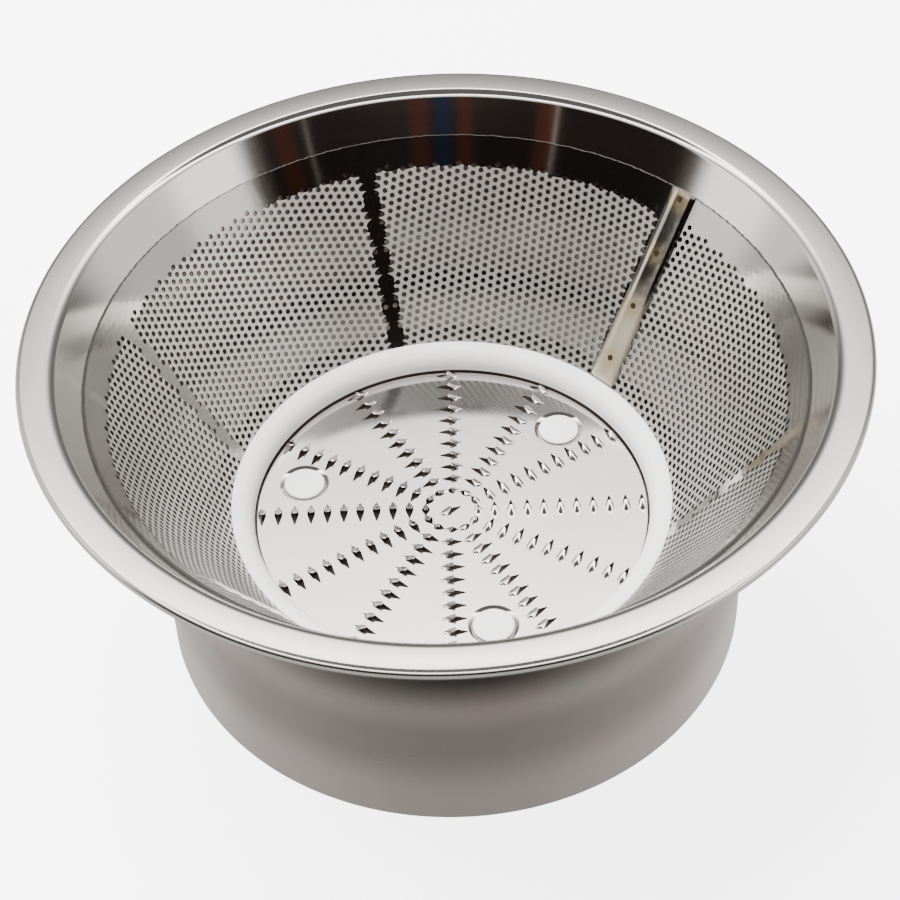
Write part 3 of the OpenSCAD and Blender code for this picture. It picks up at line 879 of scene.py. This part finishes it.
class BASKET_OT_grater(bpy.types.Operator):
    """Grater disc with pierced teeth and the dimpled holes of its stakes"""

    bl_idname = "basket.grater"
    bl_label = "Grater disc"

    def execute(self, context):
        form, size, tones = given(context.scene)
        grater = context.scene.grater_sizes
        round_off = 0.2 * MM
        outline = [(0, form.disc_bottom), (form.disc_r, form.disc_bottom)]
        outline += arc((form.disc_r - round_off, form.disc_z - round_off), round_off, 0, 90, 4)
        outline += [(0, form.disc_z)]
        disc = lathe("grater_disc", outline, 192, closed=False)
        cutters, tongues = [], []
        places = [(row, grater.first + grater.pitch * step)
                  for step in range(grater.per_row) for row in range(grater.rows)]
        patterns = {}
        for number, (row, r) in enumerate(places + [(None, 0)]):
            room = 1.6 * r * math.sin(math.pi / grater.rows)
            stretch = 1.0 if row is None else min(1.0, room / grater.hole_length)
            if stretch not in patterns:
                patterns[stretch] = (tooth_cutter(grater, stretch, 2 * size.disc_sheet),
                                     tooth_tongue(grater, stretch))
            turn = grater.centre_turn if row is None else TURN * row / grater.rows
            place = Matrix.Rotation(turn, 4, "Z") @ Matrix.Translation((r, 0, form.disc_z))
            cutters.append(copied(patterns[stretch][0], place, f"cutter_{number}"))
            tongues.append(copied(patterns[stretch][1], place, f"tongue_{number}"))
        for pattern in patterns.values():
            for piece in pattern:
                bpy.data.objects.remove(piece)
        neck_gap, head_gap = 0.03 * MM, 0.12 * MM
        neck, head = grater.stake_neck + neck_gap, grater.stake_head + head_gap
        rim, past = head + grater.dimple, MM
        dimple = [(0, form.disc_bottom - past), (neck, form.disc_bottom - past), (neck, form.disc_bottom),
                  (head, form.disc_z - 0.3 * MM), (rim, form.disc_z + 0.01 * MM),
                  (rim, form.disc_z + past), (0, form.disc_z + past)]
        pattern = lathe("dimple", dimple, 64, closed=False)
        cutters += spread(pattern, stake_places(form, size, grater), "dimple")
        carve(disc, joined(cutters, "cutters"))
        disc = joined([disc] + tongues, "grater_disc")
        smooth(disc)
        flatten(disc)
        keep(disc, [mirror_steel(tones)], "polished_steel", "grater_disc")
        return {"FINISHED"}


def stake_places(form, size, grater):
    return ring_of_places(form.disc_r - grater.stake_edge, grater.stakes, size.seam_direction)


class BASKET_OT_ring(bpy.types.Operator):
    """White ring round the disc"""

    bl_idname = "basket.ring"
    bl_label = "Clamp ring"

    def execute(self, context):
        form, size, tones = given(context.scene)
        crown = form.cone(form.crown, -size.clearance)
        lip = (form.ring_r, form.disc_z + size.ring_wall)
        reach, rise = crown[0] - lip[0], crown[1] - lip[1]
        bend = (reach * reach + rise * rise) / (2 * reach)
        centre = (lip[0] + bend, lip[1])
        start = math.degrees(math.atan2(crown[1] - centre[1], crown[0] - centre[0]))
        ledge = form.cone(size.sheet_foot, size.sheet)[1] - 2 * size.clearance
        ledge_r = form.cone(form.slant_at_height(ledge, -size.clearance), -size.clearance)[0]
        out = form.ring_r + size.ring_base
        groove = 0.12 * MM
        outline = [(form.ring_r, form.channel_z), (out, form.channel_z), (out, ledge), (ledge_r, ledge)]
        outline += arc(centre, bend, start, 180, 20)
        outline += [(lip[0] + groove, lip[1] - groove), (lip[0] + groove, lip[1] - 2 * groove),
                    (lip[0], lip[1] - 3 * groove)]
        piece = lathe("clamp_ring", outline)
        smooth(piece)
        keep(piece, [white_plastic(tones, form)], "white_plastic", "clamp_ring")
        return {"FINISHED"}


class BASKET_OT_hub(bpy.types.Operator):
    """Hub below the disc, and the stake heads that hold the disc"""

    bl_idname = "basket.hub"
    bl_label = "Hub and stakes"

    def execute(self, context):
        form, size, tones = given(context.scene)
        grater = context.scene.grater_sizes
        plastic = white_plastic(tones, form)
        soft, taper, depth = 0.35 * MM, 0.2 * MM, 0.5 * MM
        keep(refined("base_hub", soft, "hub"), [plastic], "white_plastic", "base_hub")
        top, foot = form.disc_z + grater.head_rise, form.disc_z - depth
        outline = [(0, foot), (grater.stake_head - taper, foot)]
        outline += arc((grater.stake_head - soft, top - soft), soft, 0, 90, 6) + [(0, top)]
        pattern = lathe("stake", outline, 64, closed=False)
        smooth(pattern)
        heads = spread(pattern, stake_places(form, size, grater), "head")
        keep(joined(heads, "stake_heads"), [plastic], "white_plastic", "base_hub")
        return {"FINISHED"}


class BASKET_OT_skirt(bpy.types.Operator):
    """Outer skirt with its flange and pads"""

    bl_idname = "basket.skirt"
    bl_label = "Skirt"

    def execute(self, context):
        form, size, tones = given(context.scene)
        sheet = size.skirt_sheet
        out = size.sheet + size.channel + sheet
        lean = math.degrees(form.slope)
        flange_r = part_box("outer_skirt")[1].x
        flange_z = form.rim_z - size.rim_sheet - size.drain
        wall_r = size.skirt_radius
        knee = form.cone(form.slant_at_radius(wall_r, out), out)[1]
        bend_z = knee - size.skirt_bend * math.tan(form.slope / 2)
        bend = (wall_r + size.skirt_bend, bend_z)
        inner = form.cone(form.slant_at_height(flange_z, out - sheet), out - sheet)
        outer = form.cone(form.slant_at_height(flange_z - sheet, out), out)
        outline = [(wall_r - sheet, 0.1 * MM), (wall_r - 0.7 * sheet, 0), (wall_r - 0.3 * sheet, 0),
                   (wall_r, 0.1 * MM)]
        outline += arc(bend, size.skirt_bend, 180, 180 - lean, 24)
        outline += [outer, (flange_r, flange_z - sheet), (flange_r, flange_z), inner]
        outline += arc(bend, size.skirt_bend + sheet, 180 - lean, 180, 24)
        skirt = lathe("outer_skirt", outline)
        smooth(skirt)
        weld_low, weld_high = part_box("skirt_welds")
        weld_radius, slope = 1.1 * MM, 0.2 * MM
        pad_z, pad_r = weld_low.z, weld_high.x - weld_radius
        pad = lathe("pad", [(0, pad_z), (size.pad_radius - slope, pad_z), (size.pad_radius, pad_z - slope),
                            (size.pad_radius, flange_z), (0, flange_z)], 24, closed=False)
        smooth(pad)
        places = ring_of_places(pad_r, size.pads, 0)
        piece = joined([skirt] + spread(pad, places, "pad"), "outer_skirt")
        keep(piece, [skirt_steel(tones)], "skirt_steel", "outer_skirt")
        return {"FINISHED"}


class BASKET_OT_drive(bpy.types.Operator):
    """Bush, coupling, screws, washers and the hidden welds"""

    bl_idname = "basket.drive"
    bl_label = "Drive and fasteners"

    def execute(self, context):
        tones = context.scene.basket_colours
        zinc = steel("zinc_steel", tones.zinc, 0.24, 0.12, 4000.0, 0.003 * MM).material
        bush = steel("bush_steel", tones.steel, 0.18, 0.10, 9000.0, 0.004 * MM).material
        dark = coupling_plastic(tones)
        keep(refined("ring_screws", 0.12 * MM, "ring_screws_set"), [zinc], "screw_steel", "ring_screws")
        keep(refined("ring_washers", 0.06 * MM, "washer_set"), [zinc], "screw_steel", "ring_washers")
        keep(refined("coupling_screws", 0.15 * MM, "coupling_screw_set"), [zinc], "screw_steel",
             "coupling_screws")
        keep(refined("shaft_bush", 0.25 * MM, "bush"), [bush], "bush_steel", "shaft_bush")
        keep(refined("drive_coupling", 0.3 * MM, "coupling"), [dark], "dark_plastic", "drive_coupling")
        weld = weld_steel(tones)
        for node in ("collar_welds", "skirt_welds"):
            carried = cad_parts[node]
            carried.data.materials.clear()
            carried.data.materials.append(weld)
        return {"FINISHED"}


# ---------------------------------------------------------------- stage


def sky(scene):
    """A studio's light by direction: bright behind and overhead, a dark room low down in front."""
    world = bpy.data.worlds.new("studio")
    world.use_nodes = True
    scene.world = world
    nodes = Nodes(world.node_tree)
    x, y, z = nodes.axes(nodes.node("ShaderNodeTexCoord", {}, {}, "Generated"))
    level = hypotenuse(x, y)
    ahead = (0 - y - x * 0.2) / level
    sideways = x / (0 - y)
    # Above the horizon it brightens fast with height, up to a dark cap overhead.
    rise = (z - 0.66) * 12.0
    high = rise.math("MINIMUM", rise, 2.3)
    high = (high.math("EXPONENT", high) + 0.2) * (1 - z.step(0.82, 0.88) * 0.985)
    # Both flanks of the dark room are bright too.
    flank = ahead.step(-0.75, -0.4) * 0.5 + ahead.step(-0.1, 0.1) * 0.5 - ahead.step(0.30, 0.42)
    high = high + flank * z.step(0.02, 0.1) * (1 - z.step(0.45, 0.6)) * 2.0
    # Below the horizon it is dim underneath, and brighter outwards, behind and at the sides.
    sides = (0 - y).step(0.8, 0.1) * level.step(0.35, 0.7)
    low = 0.04 + level.step(0.05, 0.78) * 0.58 + y.step(0.0, 0.4) * 0.25 + sides * 0.35
    light = low + (high - low) * z.step(-0.06, 0.02)
    # The dark room, low in front.
    dark = ahead.step(0.36, 0.50) * (1 - z.step(0.50, 0.62)) * z.step(-0.02, 0.04)
    light = light * (1 - dark) + dark * 0.018
    tint = nodes.blend(dark, (1.0, 0.975, 0.945, 1), (1.0, 0.78, 0.68, 1))

    def glint(lit, tinted, place, width, strength, own_tint):
        """A faint upright patch of light in the dark room."""
        off = (sideways - place).math("ABSOLUTE", sideways - place)
        patch = (1 - off.step(width * 0.5, width)) * dark * z.step(0.22, 0.36)
        return lit + patch * strength, nodes.blend(patch, tinted, own_tint)

    red, grey, blue = (1.0, 0.30, 0.20, 1), (1.0, 0.9, 0.8, 1), (0.2, 0.36, 1.0, 1)
    light, tint = glint(light, tint, -0.66, 0.10, 0.06, red)
    light, tint = glint(light, tint, -0.72, 0.012, 0.4, grey)
    light, tint = glint(light, tint, -0.16, 0.05, 0.05, red)
    light, tint = glint(light, tint, -0.045, 0.045, 0.03, blue)
    light, tint = glint(light, tint, 0.08, 0.06, 0.045, red)
    light, tint = glint(light, tint, 0.77, 0.014, 0.25, grey)
    light, tint = glint(light, tint, 0.98, 0.12, 0.04, red)
    background = nodes.tree.nodes["Background"]
    nodes.tree.links.new(light.socket, background.inputs["Strength"])
    nodes.tree.links.new(tint.socket, background.inputs["Color"])


def camera_for(form, scene):
    """The camera, by its distance and height from the rim's centre, its roll and its aim."""
    distance, height, roll = 0.489, math.radians(43.81), math.radians(2.60)
    left, up = math.radians(0.134), math.radians(2.633)
    target = Vector((0, 0, form.rim_z))
    back = Vector((0, -math.cos(height), math.sin(height)))
    look = Matrix.Rotation(math.pi / 2 - height, 4, "X")
    aim = Matrix.Rotation(-up, 4, "X") @ Matrix.Rotation(-left, 4, "Y")
    data = bpy.data.cameras.new("camera")
    data.lens, data.sensor_width = 98.58, 36
    camera = bpy.data.objects.new("camera", data)
    camera.matrix_world = (Matrix.Translation(target + back * distance) @ look
                           @ Matrix.Rotation(-roll, 4, "Z") @ aim)
    scene.collection.objects.link(camera)
    scene.camera = camera


def floor_paper(tones):
    """Matt paper with a glow of its own, so that it stays near white and its shadow faint."""
    paint = Paint("floor_paper", Roughness=0.7, Emission_Color=(1, 1, 1, 1), Emission_Strength=4)
    cloud = paint.noise(paint.place, 6.0, 2.0)
    paint.feed("Base Color", paint.blend(cloud, shade(tones.floor, 0.99), shade(tones.floor, 1.01)))
    return paint.material


class BASKET_OT_stage(bpy.types.Operator):
    """Pale floor, studio light and the camera"""

    bl_idname = "basket.stage"
    bl_label = "Stage"

    def execute(self, context):
        scene, form, tones = context.scene, Form(context.scene), context.scene.basket_colours
        deselect()
        bpy.ops.mesh.primitive_circle_add(vertices=96, radius=4, fill_type="NGON")
        floor = named("floor")
        floor.data.materials.append(floor_paper(tones))
        floor.visible_glossy = False
        sky(scene)
        lamp = bpy.data.lights.new("soft_box", "AREA")
        lamp.shape, lamp.size, lamp.size_y, lamp.energy = "RECTANGLE", 1.2, 1.0, 42
        box = bpy.data.objects.new("soft_box", lamp)
        box.location = (-0.35, 0.35, 0.9)
        box.rotation_euler = (Vector((0, 0, 0.05)) - box.location).to_track_quat("-Z", "Y").to_euler()
        box.visible_glossy = False
        scene.collection.objects.link(box)
        camera_for(form, scene)
        return {"FINISHED"}


class BASKET_PT_pieces(bpy.types.Panel):
    """Lists the pieces of the basket"""

    bl_idname = "BASKET_PT_pieces"
    bl_label = "Filter basket"
    bl_space_type = "VIEW_3D"
    bl_region_type = "UI"
    bl_category = "Basket"

    def draw(self, context):
        column = self.layout.column()
        for operator in OPERATORS:
            column.operator(operator.bl_idname)


OPERATORS = (BASKET_OT_rim, BASKET_OT_sheet, BASKET_OT_seam, BASKET_OT_grater, BASKET_OT_ring,
             BASKET_OT_hub, BASKET_OT_skirt, BASKET_OT_drive, BASKET_OT_stage)
GROUPS = {"basket_sizes": BasketSizes, "grater_sizes": GraterSizes, "basket_colours": BasketColours}


def register():
    for group in GROUPS.values():
        bpy.utils.register_class(group)
    for name, group in GROUPS.items():
        setattr(bpy.types.Scene, name, PointerProperty(type=group))
    for kind in OPERATORS + (BASKET_PT_pieces,):
        bpy.utils.register_class(kind)


def unregister():
    for kind in reversed(OPERATORS + (BASKET_PT_pieces,)):
        bpy.utils.unregister_class(kind)
    for name, group in GROUPS.items():
        delattr(bpy.types.Scene, name)
        bpy.utils.unregister_class(group)


def main():
    register()
    bpy.ops.basket.stage()
    bpy.ops.basket.rim()
    bpy.ops.basket.sheet()
    bpy.ops.basket.seam()
    bpy.ops.basket.grater()
    bpy.ops.basket.ring()
    bpy.ops.basket.hub()
    bpy.ops.basket.skirt()
    bpy.ops.basket.drive()


if __name__ == "__main__":
    main()
